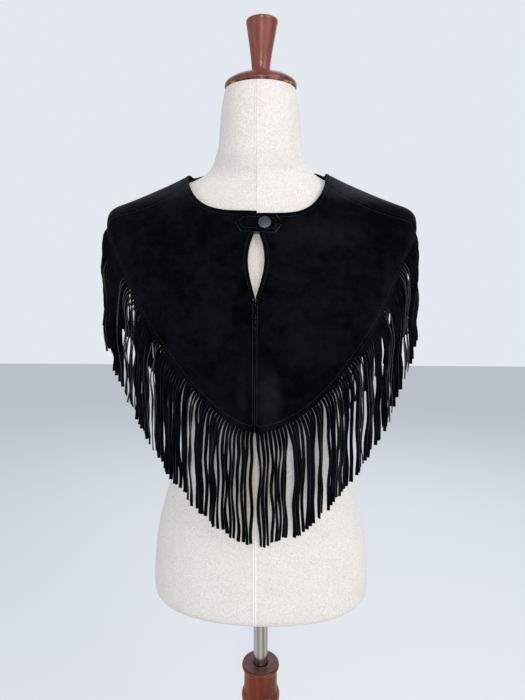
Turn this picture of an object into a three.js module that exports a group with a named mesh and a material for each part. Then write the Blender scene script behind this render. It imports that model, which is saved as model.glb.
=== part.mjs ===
// A black suede capelet with a cut fringe, worn on a limbless linen dress form with a turned wooden stand.
// Millimetres, +Z up, the front towards -Y, the origin on the floor under the pole.
import * as THREE from "three";

const { abs, asin, acos, cos, sin, sign, exp, floor, PI, min, max, round } = Math;

// A table's rows, each with its values under the names of the columns.
function table(columns, rows) {
  return rows.map((row) => Object.fromEntries(columns.map((name, k) => [name, row[k]])));
}

// Suede and seams
const SUEDE = 1.5;            // thickness of the hide
const SEAM_GAP = 0.3;         // between two pieces that are sewn together
const SHOULDER_SEAM = { neck: 68 * PI / 180, hem: 76 * PI / 180 }; // its angle from the front centre
const CROWN_ROUND = 0.85;     // under 1, the cloth lies flatter over the shoulder ridge than an ellipse

// The capelet isn't worn quite straight. The wearer's left front hangs lower towards its hem, by a share of
// its rise, and the left shoulder slopes more. Both sides of the neckline are pulled out, the right one more
// and upwards too, and the left one lies closer to the neck at the shoulder. The right shoulder keeps its
// height out to the hem.
const WORN = {
  leftHang: 0.2, leftDrop: 5.5, leftPull: 4, leftIn: 7, rightPull: 8, rightLift: 0.85, rightEnd: 7,
};

// The capelet from neckline (share 0) to hem (share 1): half its width, its depth in front of and behind the
// pole, and its height at the front centre, at the shoulder ridge and at the back centre. The rise says how
// late the edge climbs from the centre to the shoulder: 5 is a scooped neckline, 1.6 a pointed hem.
const CAPE = table(["share", "halfWidth", "front", "back", "frontZ", "ridgeZ", "backZ", "rise", "backRise"], [
  [0.00, 100, 78, 73, 1142, 1209, 1227, 4.2, 7.0],
  [0.14, 121, 90, 88, 1104, 1199, 1184, 3.7, 2.7],
  [0.28, 144, 104, 103, 1064, 1189, 1139, 3.1, 2.3],
  [0.43, 168, 117, 113, 1022, 1179, 1092, 2.6, 2.2],
  [0.58, 191, 125, 120, 980, 1170, 1042, 2.2, 2.0],
  [0.72, 206, 128, 124, 940, 1164, 995, 1.9, 1.85],
  [0.84, 214.5, 129, 127, 908, 1157, 948, 1.75, 1.7],
  [0.92, 217.5, 129, 128, 886, 1149, 910, 1.66, 1.62],
  [1.00, 218, 128, 128, 863, 1137, 870, 1.6, 1.6],
]);

// The shares at which every panel has a row of points, closest round the slit
const PANEL_ROWS = [0, 0.04, 0.08, 0.12, 0.17, 0.22, 0.27, 0.32, 0.37, 0.41, 0.5, 0.6, 0.7, 0.79, 0.87,
  0.935, 1];

// The keyhole slit between the two fronts
const KEYHOLE = { bottomZ: 1030, topZ: 1124, halfWidth: 10.4, peak: 1.1 };

// The closure tab, cut to a point at both ends, and its press stud
const TAB = {
  centreX: 2, centreZ: 1128, tilt: -3 * PI / 180, length: 61, height: 24, point: 8.5, thickness: 1.8,
};
const SNAP = { alongTab: 8, radius: 8.2, edge: 1.1, dome: 2.6 };

// The fringe: a header strip sewn under the hem, cut into strands that bend over and hang
const FRINGE = { header: 12, thickness: 1.2, pitch: 6.8, width: 4.0, length: 148, bend: 9 };
const STRAND_STATIONS = [5, 20, FRINGE.length];

// The dress form, from its neck down. A roundness of 2 is an ellipse, less is leaner at the sides. The lean
// tips a section forward.
const FORM = [
  { z: 1325, halfWidth: 50, front: 55, back: 45, roundness: 2.0, lean: 0.13 },
  { z: 1302, halfWidth: 54.6, front: 57, back: 49, roundness: 2.0, lean: 0.13 },
  { z: 1275, halfWidth: 57.6, front: 59, back: 53, roundness: 2.0, lean: 0.12 },
  { z: 1250, halfWidth: 59.6, front: 60, back: 57, roundness: 2.0, lean: 0.09 },
  { z: 1235, halfWidth: 63.5, front: 61, back: 60, roundness: 2.0, lean: 0.05 },
  { z: 1222, halfWidth: 68.5, front: 61, back: 63, roundness: 1.8, lean: 0.02 },
  { z: 1212, halfWidth: 76.5, front: 60, back: 66, roundness: 1.55, lean: 0 },
  { z: 1203.7, halfWidth: 91.5, front: 59, back: 70, roundness: 1.3, lean: 0 },
  { z: 1196.7, halfWidth: 111, front: 59, back: 74, roundness: 1.25, lean: 0 },
  { z: 1187, halfWidth: 143.3, front: 60, back: 77, roundness: 1.22, lean: 0 },
  { z: 1177, halfWidth: 165.8, front: 61, back: 80, roundness: 1.22, lean: 0 },
  { z: 1166, halfWidth: 179, front: 63, back: 83, roundness: 1.28, lean: 0 },
  { z: 1152, halfWidth: 187, front: 66, back: 87, roundness: 1.42, lean: 0 },
  { z: 1120, halfWidth: 190, front: 74, back: 93, roundness: 1.7, lean: 0 },
  { z: 1085, halfWidth: 184, front: 87, back: 98, roundness: 1.95, lean: 0 },
  { z: 1045, halfWidth: 169, front: 101, back: 101, roundness: 2.2, lean: 0 },
  { z: 1000, halfWidth: 152, front: 112, back: 99, roundness: 2.3, lean: 0 },
  { z: 955, halfWidth: 142, front: 110, back: 92, roundness: 2.25, lean: 0 },
  { z: 910, halfWidth: 130, front: 99, back: 85, roundness: 2.15, lean: 0 },
  { z: 865, halfWidth: 119, front: 91, back: 80, roundness: 2.1, lean: 0 },
  { z: 815, halfWidth: 118, front: 89, back: 81, roundness: 2.1, lean: 0 },
  { z: 765, halfWidth: 134.5, front: 94, back: 90, roundness: 2.15, lean: 0 },
  { z: 695, halfWidth: 153.5, front: 100, back: 102, roundness: 2.2, lean: 0 },
  { z: 631, halfWidth: 161, front: 102, back: 108, roundness: 2.2, lean: 0 },
  { z: 600, halfWidth: 160.5, front: 102, back: 108, roundness: 2.2, lean: 0 },
  { z: 589, halfWidth: 156, front: 98, back: 104, roundness: 2.2, lean: 0 },
  { z: 583, halfWidth: 144, front: 88, back: 94, roundness: 2.2, lean: 0 },
];
const FORM_SIDES = 32;
// The form's left shoulder slopes more: how much lower it lies 150 mm out, and between which heights
const FORM_SLOPE = { drop: 5.6, from: 1250, full: 1210, fades: 1120, to: 1040 };

// The neck cap and finial, as radius and height over the neck's top
const NECK_CAP = [[0, 0.4], [48.5, 0.4], [50.8, 2.5], [50.4, 7.5], [44, 13.8], [34, 18], [20, 20.8],
  [13.2, 22.6], [12.1, 25.5], [14.2, 42], [18.2, 66], [21.7, 85], [20.9, 87.6], [12, 88.7], [0, 89]];
const CAP_LEAN = Math.atan(0.13);
const CAP_CENTRE_Y = -5;

// The stand: a steel pole that slides in a turned column on a round foot
const POLE = { radius: 11, top: 582.7, bottom: 165 };
const BORE = { radius: 11.7, bottom: 45 };
const COLUMN_TOP = 465;
const FOOT = { radius: 175, thickness: 24 };
const COLUMN = [[26, 3], [34, 9], [35, 16], [30, 23], [24, 30], [21.5, 60], [23.5, 180], [25, 300], [24, 360],
  [25.5, 372], [25.5, 378], [23.5, 386], [25, 398], [29.2, 407.5], [29.2, 416], [26.1, 422.6], [25.7, 446],
  [28, 456.4], [28.6, 461.6], [26.8, COLUMN_TOP]];

const finish = {
  suede: new THREE.MeshStandardMaterial({ color: 0x111215, roughness: 0.95, metalness: 0 }),
  linen: new THREE.MeshStandardMaterial({ color: 0xe8e2d7, roughness: 0.9, metalness: 0 }),
  mahogany: new THREE.MeshStandardMaterial({ color: 0x6a2a1b, roughness: 0.3, metalness: 0 }),
  steel: new THREE.MeshStandardMaterial({ color: 0x9b9995, roughness: 0.35, metalness: 1 }),
  gunmetal: new THREE.MeshStandardMaterial({ color: 0x4c5058, roughness: 0.5, metalness: 0.6 }),
};

const capelet = new THREE.Group();

// One row of a table at a place between its rows, by a curve through all of them.
function rowAt(rows, key, place) {
  const last = rows.length - 1;
  let i = 0;
  while (i < last - 1 && (rows[i + 1][key] - place) * (rows[last][key] - rows[0][key]) < 0) i += 1;
  const span = rows[i + 1][key] - rows[i][key];
  const f = (place - rows[i][key]) / span;
  const row = {};
  for (const name of Object.keys(rows[0])) {
    const slope = (j) => {
      const a = max(0, j - 1);
      const b = min(last, j + 1);
      return (rows[b][name] - rows[a][name]) / (rows[b][key] - rows[a][key]) * span;
    };
    const rise = rows[i + 1][name] - rows[i][name];
    const s0 = slope(i);
    const s1 = slope(i + 1);
    row[name] = rows[i][name] + f * (s0 + f * (3 * rise - 2 * s0 - s1 + f * (s0 + s1 - 2 * rise)));
  }
  return row;
}

// A point of the suede's outer face. The angle runs round the neck from the front centre, +X first, and the
// share from neckline to hem.
function capeAt(angle, share) {
  const r = rowAt(CAPE, "share", share);
  const facing = cos(angle);
  const inFront = facing > 0;
  const low = inFront ? r.frontZ : r.backZ;
  const aside = abs(sin(angle));
  const left = sin(angle) > 0;
  const nearNeck = (1 - share) ** 3;
  const hang = inFront && left ? 1 + WORN.leftHang * share : 1;
  const ridgeZ = r.ridgeZ - (left ? WORN.leftDrop * (1 - nearNeck) : 0);
  const pull = inFront ? (left ? WORN.leftPull : WORN.rightPull) * nearNeck * 2 * aside * facing : 0;
  const x = r.halfWidth * aside + pull - (left ? WORN.leftIn * nearNeck * aside ** 6 : 0);
  const y = -sign(facing) * (inFront ? r.front : r.back) * abs(facing) ** CROWN_ROUND;
  const z = low + (ridgeZ - low) * aside ** ((inFront ? r.rise : r.backRise) * hang);
  const lift = left ? 0 : WORN.rightLift * pull * facing + WORN.rightEnd * share ** 8 * aside ** 10;
  return new THREE.Vector3(left ? x : -x, y, z + lift);
}

function shoulderSeam(share) {
  return SHOULDER_SEAM.neck + (SHOULDER_SEAM.hem - SHOULDER_SEAM.neck) * share ** 1.5;
}

// The suede's surface at a place: its outward normal, and its direction down to the hem and round the neck.
function frameAt(angle, share) {
  const step = 1e-3;
  const round_ = capeAt(angle + step, share).sub(capeAt(angle - step, share));
  const down = capeAt(angle, min(1, share + step)).sub(capeAt(angle, max(0, share - step)));
  const speed = round_.length() / (2 * step);
  const normal = down.clone().cross(round_).normalize();
  return { normal, round: round_.normalize(), down: down.normalize(), speed };
}

// A place on the suede moved out along its normal; a distance below 0 is inside.
function capeOffset(angle, share, distance) {
  return capeAt(angle, share).addScaledVector(frameAt(angle, share).normal, distance);
}

// The angle at which a row of the front reaches a given width.
function angleAtWidth(x, share) {
  const width = rowAt(CAPE, "share", share).halfWidth;
  const pull = x > 0 ? WORN.leftPull : WORN.rightPull;
  return asin(x / (width + 2 * pull * (1 - share) ** 3));
}

// The place on the front at a given width and height, for what is sewn there.
function frontPlace(x, z) {
  let low = 0;
  let high = 0.6;
  for (let i = 0; i < 40; i += 1) {
    const middle = (low + high) / 2;
    if (capeAt(angleAtWidth(x, middle), middle).z > z) low = middle;
    else high = middle;
  }
  return { angle: angleAtWidth(x, low), share: low };
}

// A closed geometry from points and faces, turned so that its faces point out.
function solid(points, faces) {
  let volume = 0;
  for (const [a, b, c] of faces) volume += points[a].dot(points[b].clone().cross(points[c]));
  const turned = volume < 0 ? faces.map(([a, b, c]) => [a, c, b]) : faces;
  const geometry = new THREE.BufferGeometry().setFromPoints(points).setIndex(turned.flat());
  geometry.computeVertexNormals();
  return geometry;
}

// A wall between two faces, each a function of a column and a row, with its rim closed.
function wall(outer, inner, columns, rows) {
  const points = [];
  const faces = [];
  for (const face of [outer, inner]) {
    for (let r = 0; r <= rows; r += 1) for (let c = 0; c <= columns; c += 1) points.push(face(c, r));
  }
  const at = (layer, c, r) => layer * (columns + 1) * (rows + 1) + r * (columns + 1) + c;
  const quad = (a, b, c, d) => faces.push([a, b, c], [a, c, d]);
  for (let r = 0; r < rows; r += 1) {
    for (let c = 0; c < columns; c += 1) {
      quad(at(0, c, r), at(0, c + 1, r), at(0, c + 1, r + 1), at(0, c, r + 1));
      quad(at(1, c, r), at(1, c, r + 1), at(1, c + 1, r + 1), at(1, c + 1, r));
    }
    quad(at(0, 0, r), at(0, 0, r + 1), at(1, 0, r + 1), at(1, 0, r));
    quad(at(0, columns, r), at(1, columns, r), at(1, columns, r + 1), at(0, columns, r + 1));
  }
  for (let c = 0; c < columns; c += 1) {
    quad(at(0, c, 0), at(1, c, 0), at(1, c + 1, 0), at(0, c + 1, 0));
    quad(at(0, c, rows), at(0, c + 1, rows), at(1, c + 1, rows), at(1, c, rows));
  }
  return solid(points, faces);
}

// A body lofted through rings of as many points each, with flat ends.
function loft(rings) {
  const sides = rings[0].length;
  const points = rings.flat();
  const faces = [];
  for (let r = 0; r < rings.length - 1; r += 1) {
    for (let k = 0; k < sides; k += 1) {
      const [a, b] = [r * sides + k, r * sides + (k + 1) % sides];
      faces.push([a, b, b + sides], [a, b + sides, a + sides]);
    }
  }
  for (const first of [0, (rings.length - 1) * sides]) {
    const middle = new THREE.Vector3();
    for (let k = 0; k < sides; k += 1) middle.addScaledVector(points[first + k], 1 / sides);
    points.push(middle);
    for (let k = 0; k < sides; k += 1) {
      const pair = first === 0 ? [first + (k + 1) % sides, first + k] : [first + k, first + (k + 1) % sides];
      faces.push([points.length - 1, ...pair]);
    }
  }
  return solid(points, faces);
}

function turned(profile, sides) {
  return new THREE.LatheGeometry(profile.map(([r, z]) => new THREE.Vector2(r, z)), sides).rotateX(PI / 2);
}

function add(name, geometry, material, parent = capelet) {
  const mesh = new THREE.Mesh(geometry, material);
  mesh.name = name;
  parent.add(mesh);
  return mesh;
}

// Half the slit's width between the fronts at a height on the centre line.
function slitAt(z) {
  const up = (z - KEYHOLE.bottomZ) / (KEYHOLE.topZ - KEYHOLE.bottomZ);
  const open = up > 0 && up < 1 ? sin(PI * up ** KEYHOLE.peak) : 0;
  return SEAM_GAP / 2 + KEYHOLE.halfWidth * open;
}

// A panel is a grid of places: an angle for each column at a share, and the same shares for every panel. The
// fronts run from the centre seam and the slit to the shoulder seam.
function frontPanel(side) {
  const columns = 15;
  const angleAt = (c, share) => {
    const row = rowAt(CAPE, "share", share);
    const inner = abs(angleAtWidth(side * slitAt(row.frontZ), share));
    const seam = shoulderSeam(share);
    const outer = seam - SEAM_GAP / 2 / frameAt(side * seam, share).speed;
    return side * (inner + (outer - inner) * c / columns);
  };
  return { columns, angleAt };
}

// The back runs from shoulder seam to shoulder seam.
function backPanel() {
  const columns = 32;
  const angleAt = (c, share) => {
    const seam = shoulderSeam(share);
    const start = seam + SEAM_GAP / 2 / frameAt(seam, share).speed;
    const end = 2 * PI - seam - SEAM_GAP / 2 / frameAt(-seam, share).speed;
    return start + (end - start) * c / columns;
  };
  return { columns, angleAt };
}

function cut(panel) {
  const face = (distance) => (c, r) => capeOffset(panel.angleAt(c, PANEL_ROWS[r]), PANEL_ROWS[r], distance);
  return wall(face(0), face(-SUEDE), panel.columns, PANEL_ROWS.length - 1);
}

// A place over or under a panel's own flat facets, so that what is sewn to it keeps its distance.
function onPanel(panel, angle, share, distance) {
  let r = 0;
  while (r < PANEL_ROWS.length - 2 && PANEL_ROWS[r + 1] < share) r += 1;
  const down = (share - PANEL_ROWS[r]) / (PANEL_ROWS[r + 1] - PANEL_ROWS[r]);
  const across = (row) => {
    const [first, last] = [panel.angleAt(0, row), panel.angleAt(panel.columns, row)];
    const f = (angle - first) / (last - first) * panel.columns;
    const c = max(0, min(panel.columns - 1, floor(f)));
    const left = capeOffset(panel.angleAt(c, row), row, distance);
    return left.lerp(capeOffset(panel.angleAt(c + 1, row), row, distance), f - c);
  };
  return across(PANEL_ROWS[r]).lerp(across(PANEL_ROWS[r + 1]), down);
}

// The hem between two angles, as a list of angles with the length of the hem up to each.
function hemLengths(from, to) {
  const steps = 400;
  const list = [{ angle: from, length: 0 }];
  for (let i = 1; i <= steps; i += 1) {
    const angle = from + (to - from) * i / steps;
    const piece = capeAt(angle, 1).distanceTo(capeAt(list[i - 1].angle, 1));
    list.push({ angle, length: list[i - 1].length + piece });
  }
  return list;
}

function angleAtLength(list, length) {
  let i = 1;
  while (i < list.length - 1 && list[i].length < length) i += 1;
  const [a, b] = [list[i - 1], list[i]];
  return a.angle + (b.angle - a.angle) * (length - a.length) / (b.length - a.length);
}

// The four corners of a strand's section at a length from the hem. It leaves square to the hem and bends over
// to hang, and turns edge on where the hem is steep, so that it clears its neighbours. The hand is 1 or -1 as
// the hem is followed one way round or the other.
function strandSection({ root, out, along, hand }, pitch, length) {
  const over = FRINGE.bend * (1 - exp(-length / FRINGE.bend));
  const centre = root.clone().addScaledVector(out, over).add(new THREE.Vector3(0, 0, over - length));
  const level = new THREE.Vector3(along.x, along.y, 0);
  const room = 0.84 * pitch * level.length();
  const edgeOn = acos(min(0.95, max(0.18, (room - FRINGE.thickness) / FRINGE.width)));
  const hung = level.normalize().applyAxisAngle(new THREE.Vector3(0, 0, 1), hand * edgeOn);
  const falling = out.clone().multiplyScalar(exp(-length / FRINGE.bend));
  falling.z -= 1 - exp(-length / FRINGE.bend);
  falling.normalize();
  const across = along.clone().lerp(hung, 1 - exp(-length / (0.8 * FRINGE.bend)));
  across.addScaledVector(falling, -across.dot(falling)).normalize().multiplyScalar(FRINGE.width / 2);
  const through = falling.clone().cross(across).setLength(hand * FRINGE.thickness / 2);
  return [[-1, 1], [1, 1], [1, -1], [-1, -1]].map(([a, t]) => (
    centre.clone().addScaledVector(across, a).addScaledVector(through, t)));
}

// A fringe: one closed comb of a header strip under the hem and the strands cut from it.
function fringe(panel, from, to) {
  const hem = hemLengths(from, to);
  const whole = hem[hem.length - 1].length - FRINGE.width;
  const count = round(whole / FRINGE.pitch) + 1;
  const pitch = (whole - FRINGE.width) / (count - 1);
  const depths = [-SUEDE - SEAM_GAP, -SUEDE - SEAM_GAP - FRINGE.thickness];
  const headerShare = 1 - FRINGE.header / capeAt(from, 1).distanceTo(capeAt(from, 0.9)) * 0.1;
  const points = [];
  const faces = [];
  const quad = (a, b, c, d) => faces.push([a, b, c], [a, c, d]);
  // Both faces of the strip at a length along the hem: the index of the outer one, the inner one follows it.
  const place = (length, share) => {
    const angle = angleAtLength(hem, length);
    for (const depth of depths) points.push(onPanel(panel, angle, share, depth));
    return points.length - 2;
  };
  const roots = [];
  for (let i = 0; i < count; i += 1) {
    const middle = FRINGE.width + i * pitch;
    const left = place(middle - FRINGE.width / 2, 1);
    const right = place(middle + FRINGE.width / 2, 1);
    const angle = angleAtLength(hem, middle);
    const frame = frameAt(angle, 1);
    const along = capeAt(angle + 1e-3, 1).sub(capeAt(angle - 1e-3, 1)).setLength(1);
    along.multiplyScalar(sign(to - from));
    const out = along.clone().cross(frame.normal).normalize();
    const hand = sign(out.dot(frame.down));
    out.multiplyScalar(hand);
    const root = onPanel(panel, angle, 1, (depths[0] + depths[1]) / 2);
    roots.push({ left, right, along, out, hand, root });
  }
  const tops = [place(FRINGE.width / 2, headerShare)];
  for (let i = 1; i < count; i += 1) tops.push(place(FRINGE.width + (i - 0.5) * pitch, headerShare));
  tops.push(place(FRINGE.width * 1.5 + (count - 1) * pitch, headerShare));
  roots.forEach((strand, i) => {
    const { left, right } = strand;
    const [top, next] = [tops[i], tops[i + 1]];
    quad(top, left, right, next);
    quad(next + 1, right + 1, left + 1, top + 1);
    quad(top + 1, top, next, next + 1);
    if (i < count - 1) {
      const following = roots[i + 1].left;
      faces.push([next, right, following], [next + 1, following + 1, right + 1]);
      quad(right, right + 1, following + 1, following);
    }
    let ring = [left, right, right + 1, left + 1];
    for (const length of STRAND_STATIONS) {
      const first = points.length;
      points.push(...strandSection(strand, pitch, length));
      const fresh = [first, first + 1, first + 2, first + 3];
      // The diagonals of the two broad sides run the same way, so that a sharp twist keeps them apart.
      for (let k = 0; k < 4; k += 1) {
        const m = (k + 1) % 4;
        if (k === 2) quad(fresh[k], fresh[m], ring[m], ring[k]);
        else quad(ring[k], fresh[k], fresh[m], ring[m]);
      }
      ring = fresh;
    }
    quad(ring[0], ring[3], ring[2], ring[1]);
  });
  const [firstRoot, lastRoot] = [roots[0].left, roots[count - 1].right];
  quad(tops[0], tops[0] + 1, firstRoot + 1, firstRoot);
  quad(tops[count], lastRoot, lastRoot + 1, tops[count] + 1);
  return solid(points, faces);
}

// A point of the tab: along and across it in millimetres, then tilted and laid over the fronts.
function tabPoint(along, across, distance) {
  const x = TAB.centreX + along * cos(TAB.tilt) - across * sin(TAB.tilt);
  const z = TAB.centreZ + along * sin(TAB.tilt) + across * cos(TAB.tilt);
  const place = frontPlace(x, z);
  return capeOffset(place.angle, place.share, distance);
}

function closureTab() {
  const half = TAB.length / 2;
  const [body, rows] = [8, 3];
  const stations = [-half];
  for (let i = 0; i <= body; i += 1) stations.push((half - TAB.point) * (2 * i / body - 1));
  stations.push(half);
  const face = (distance) => (c, r) => {
    const pointed = c === 0 || c === stations.length - 1;
    const halfHeight = pointed ? 0.8 : TAB.height / 2;
    return tabPoint(stations[c], halfHeight * (1 - 2 * r / rows), distance);
  };
  return wall(face(SEAM_GAP + TAB.thickness), face(SEAM_GAP), stations.length - 1, rows);
}

// The press stud's cap, a shallow dome standing on the tab.
function snapCap() {
  const { radius, edge, dome } = SNAP;
  const profile = [[0, 0], [radius - 0.4, 0], [radius, 0.4], [radius, edge], [radius * 0.9, edge + 0.7],
    [radius * 0.6, dome - 0.35], [radius * 0.3, dome - 0.07], [0, dome]];
  const geometry = turned(profile, 24);

  const seat = tabPoint(SNAP.alongTab, 0, SEAM_GAP + TAB.thickness + SEAM_GAP);
  const away = tabPoint(SNAP.alongTab, 0, SEAM_GAP + TAB.thickness + 10).sub(seat).normalize();
  geometry.applyQuaternion(new THREE.Quaternion().setFromUnitVectors(new THREE.Vector3(0, 0, 1), away));
  return geometry.translate(seat.x, seat.y, seat.z);
}

// A level section of the dress form as a ring of points.
function formRing(row) {
  const ring = [];
  for (let k = 0; k < FORM_SIDES; k += 1) {
    const angle = 2 * PI * k / FORM_SIDES;
    const power = 2 / row.roundness;
    const x = row.halfWidth * sign(sin(angle)) * abs(sin(angle)) ** power;
    const y = -(cos(angle) > 0 ? row.front : row.back) * sign(cos(angle)) * abs(cos(angle)) ** power;
    const { drop, from, full, fades, to } = FORM_SLOPE;
    const level = max(0, min(1, (from - row.z) / (from - full), (row.z - to) / (fades - to)));
    const lower = drop * (max(0, x) / 150) ** 1.2 * level;
    ring.push(new THREE.Vector3(x, y, row.z + row.lean * (y - CAP_CENTRE_Y) - lower));
  }
  return ring;
}

function neckCap() {
  const geometry = turned(NECK_CAP, 32).rotateX(CAP_LEAN);
  return geometry.translate(0, CAP_CENTRE_Y, FORM[0].z);
}

const back = backPanel();
add("back_panel", cut(back), finish.suede);
for (const [name, side] of [["right", -1], ["left", 1]]) {
  const front = frontPanel(side);
  add("front_panel_" + name, cut(front), finish.suede);
  add("fringe_front_" + name, fringe(front, 0, side * SHOULDER_SEAM.hem), finish.suede);
  const around = (angle) => (side > 0 ? angle : 2 * PI - angle);
  add("fringe_back_" + name, fringe(back, around(SHOULDER_SEAM.hem), PI), finish.suede);
}
add("closure_tab", closureTab(), finish.suede);
add("snap_cap", snapCap(), finish.gunmetal);

add("dress_form", loft(FORM.map(formRing)), finish.linen);
add("neck_cap", neckCap(), finish.mahogany);

const { radius: poleRadius, top, bottom } = POLE;
add("pole", turned([[0, bottom], [poleRadius, bottom], [poleRadius, top], [0, top]], 24), finish.steel);
const columnFoot = FOOT.thickness + SEAM_GAP;
add("stand_column", turned([
  [0, columnFoot],
  ...COLUMN.map(([r, z]) => [r, max(z, 3) < 30 ? z + columnFoot - 3 : z]),
  [BORE.radius, COLUMN_TOP], [BORE.radius, BORE.bottom], [0, BORE.bottom],
], 28), finish.mahogany);
const { radius: footRadius, thickness } = FOOT;
add("stand_base", turned([
  [0, 0], [footRadius - 4, 0], [footRadius, 4], [footRadius, 12], [footRadius - 5, 17], [footRadius - 22, 20],
  [60, thickness], [0, thickness],
], 40), finish.mahogany);

export default capelet;
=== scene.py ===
# A black suede capelet with a cut fringe, worn on a limbless linen dress form with a turned wooden stand.
# Metres, +Z up, the front towards -Y, the origin on the floor under the pole. Tables are in millimetres.
from math import atan, pi, radians

import bmesh
import bpy
import numpy as np
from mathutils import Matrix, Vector


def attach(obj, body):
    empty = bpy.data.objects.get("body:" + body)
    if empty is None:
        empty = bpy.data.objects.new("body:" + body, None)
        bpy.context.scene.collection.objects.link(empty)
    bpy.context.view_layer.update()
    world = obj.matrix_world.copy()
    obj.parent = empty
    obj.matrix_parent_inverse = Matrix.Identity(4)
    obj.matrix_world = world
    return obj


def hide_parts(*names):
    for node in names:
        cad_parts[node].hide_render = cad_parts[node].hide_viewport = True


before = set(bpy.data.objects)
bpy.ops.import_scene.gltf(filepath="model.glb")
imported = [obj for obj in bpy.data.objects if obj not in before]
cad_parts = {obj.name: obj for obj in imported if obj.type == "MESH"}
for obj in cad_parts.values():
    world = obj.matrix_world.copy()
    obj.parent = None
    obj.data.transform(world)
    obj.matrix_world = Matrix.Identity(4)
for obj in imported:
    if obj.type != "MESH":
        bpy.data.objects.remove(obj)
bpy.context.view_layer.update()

# The camera stands where the photograph was taken from, close in front of the form at the height of its
# chest, and tipped a little down. It comes first because it frames all the rest.
LENS_MM = 25.71
CAMERA_PLACE = (0.0417, -0.7388, 1.020)
CAMERA_TIPPED_DOWN = radians(4.93)
CAMERA_TURNED = radians(3)

camera = bpy.data.objects.new("camera", bpy.data.cameras.new("camera"))
camera.data.lens = LENS_MM
camera.data.clip_start = 0.05
camera.location = CAMERA_PLACE
camera.rotation_euler = (pi / 2 - CAMERA_TIPPED_DOWN, 0, CAMERA_TURNED)
bpy.context.scene.collection.objects.link(camera)
bpy.context.scene.camera = camera

# The stage is a plain pale floor, under a broad warm light from the front right, weaker ones from the front
# and the left and another from behind, with pale light from all round.
LIT_PLACE = Vector((0, 0, 1.0))
# Columns: name, place, size, watts, colour
LIGHTS = [
    ("key_light", (1.9, -1.7, 1.9), 1.4, 40, (1, 0.975, 0.95)),
    ("front_light", (0.12, -1.85, 1.4), 0.3, 16.5, (1, 0.94, 0.86)),
    ("fill_light", (-1.9, -1.2, 1.2), 1.4, 8, (0.97, 0.98, 1)),
    ("rim_light", (0.3, 1.9, 2.7), 2.6, 30, (0.97, 0.98, 1)),
]
SURROUND = {"colour": (0.895, 0.943, 0.995, 1), "strength": 0.86}
FLOOR = {"half": 8.0, "drop": 0.0004, "colour": (0.6, 0.615, 0.64, 1), "roughness": 0.8}
FLOOR_CORNERS = ((-1, -1), (1, -1), (1, 1), (-1, 1))


def mesh_piece(name, points, faces, materials, crease=35):
    """A closed mesh piece, its faces turned out, smooth but for edges sharper than the crease in degrees."""
    mesh = bpy.data.meshes.new(name)
    mesh.from_pydata(np.asarray(points).tolist(), [], [list(map(int, f)) for f in faces])
    work = bmesh.new()
    work.from_mesh(mesh)
    bmesh.ops.recalc_face_normals(work, faces=work.faces)
    work.to_mesh(mesh)
    work.free()
    mesh.polygons.foreach_set("use_smooth", [True] * len(mesh.polygons))
    mesh.set_sharp_from_angle(angle=radians(crease))
    for material in materials:
        mesh.materials.append(material)
    piece = bpy.data.objects.new(name, mesh)
    bpy.context.scene.collection.objects.link(piece)
    return piece


for name, place, size, watts, colour in LIGHTS:
    lamp = bpy.data.objects.new(name, bpy.data.lights.new(name, "AREA"))
    lamp.data.size = size
    lamp.data.energy = watts
    lamp.data.color = colour
    lamp.location = place
    lamp.rotation_euler = (LIT_PLACE - lamp.location).to_track_quat("-Z", "Y").to_euler()
    bpy.context.scene.collection.objects.link(lamp)
surround = bpy.data.worlds.new("surround")
surround.use_nodes = True
surround.node_tree.nodes["Background"].inputs["Color"].default_value = SURROUND["colour"]
surround.node_tree.nodes["Background"].inputs["Strength"].default_value = SURROUND["strength"]
bpy.context.scene.world = surround
bpy.context.scene.view_settings.view_transform = "Standard"

floor_paint = bpy.data.materials.new("floor_paint")
floor_paint.use_nodes = True
floor_paint.node_tree.nodes["Principled BSDF"].inputs["Base Color"].default_value = FLOOR["colour"]
floor_paint.node_tree.nodes["Principled BSDF"].inputs["Roughness"].default_value = FLOOR["roughness"]
corners = [(x * FLOOR["half"], y * FLOOR["half"], -FLOOR["drop"]) for x, y in FLOOR_CORNERS]
floor = mesh_piece("floor", corners, [(0, 1, 2, 3)], [floor_paint])

# The foot is a broad disc of hardwood, turned with a stepped rim, stained red-brown and lacquered. It stands
# flat on the floor and carries the column.
MM = 0.001
FOOT = [
    (0, 0), (160, 0), (171.5, 0), (174.2, 1.6), (175, 4), (175, 12), (173.8, 15), (170, 17.2), (166, 17.6),
    (164.5, 18.6), (153, 20.2), (110, 22), (60, 23.7), (0, 24),
]
FOOT_SIDES = 144
MAHOGANY_STAIN = ((0.032, 0.0045, 0.0018), (0.19, 0.028, 0.006))
MAHOGANY_PORES = (0.02, 0.004, 0.002)


def curve_through(points, steps=6):
    """A smooth outline through the points, with no bend longer than the shorter stretch beside it."""
    points = np.array(points, float)
    spans = np.diff(points, axis=0)
    lengths = np.linalg.norm(spans, axis=1)[:, None]
    heading = spans[:-1] / lengths[:-1] + spans[1:] / lengths[1:]
    heading /= np.maximum(np.linalg.norm(heading, axis=1), 1e-6)[:, None]
    handles = heading * np.minimum(lengths[:-1], lengths[1:]) / 3
    handles = np.vstack([[0, 0], handles, [0, 0]])
    outline = [points[0]]
    for i in range(len(spans)):
        a, b = points[i], points[i + 1]
        for t in np.arange(1, steps + 1) / steps:
            u = 1 - t
            near_start = u**3 * a + 3 * u * u * t * (a + handles[i])
            outline.append(near_start + 3 * u * t * t * (b - handles[i + 1]) + t**3 * b)
    return np.array(outline)


def grid_faces(rows, columns, closed=False, start=0):
    """The faces of a grid of points in rows, which closes on itself round the columns if asked."""
    faces = []
    for r in range(rows - 1):
        for c in range(columns if closed else columns - 1):
            follow = (c + 1) % columns
            a, b = start + r * columns, start + (r + 1) * columns
            faces.append((a + c, a + follow, b + follow, b + c))
    return faces


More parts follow.
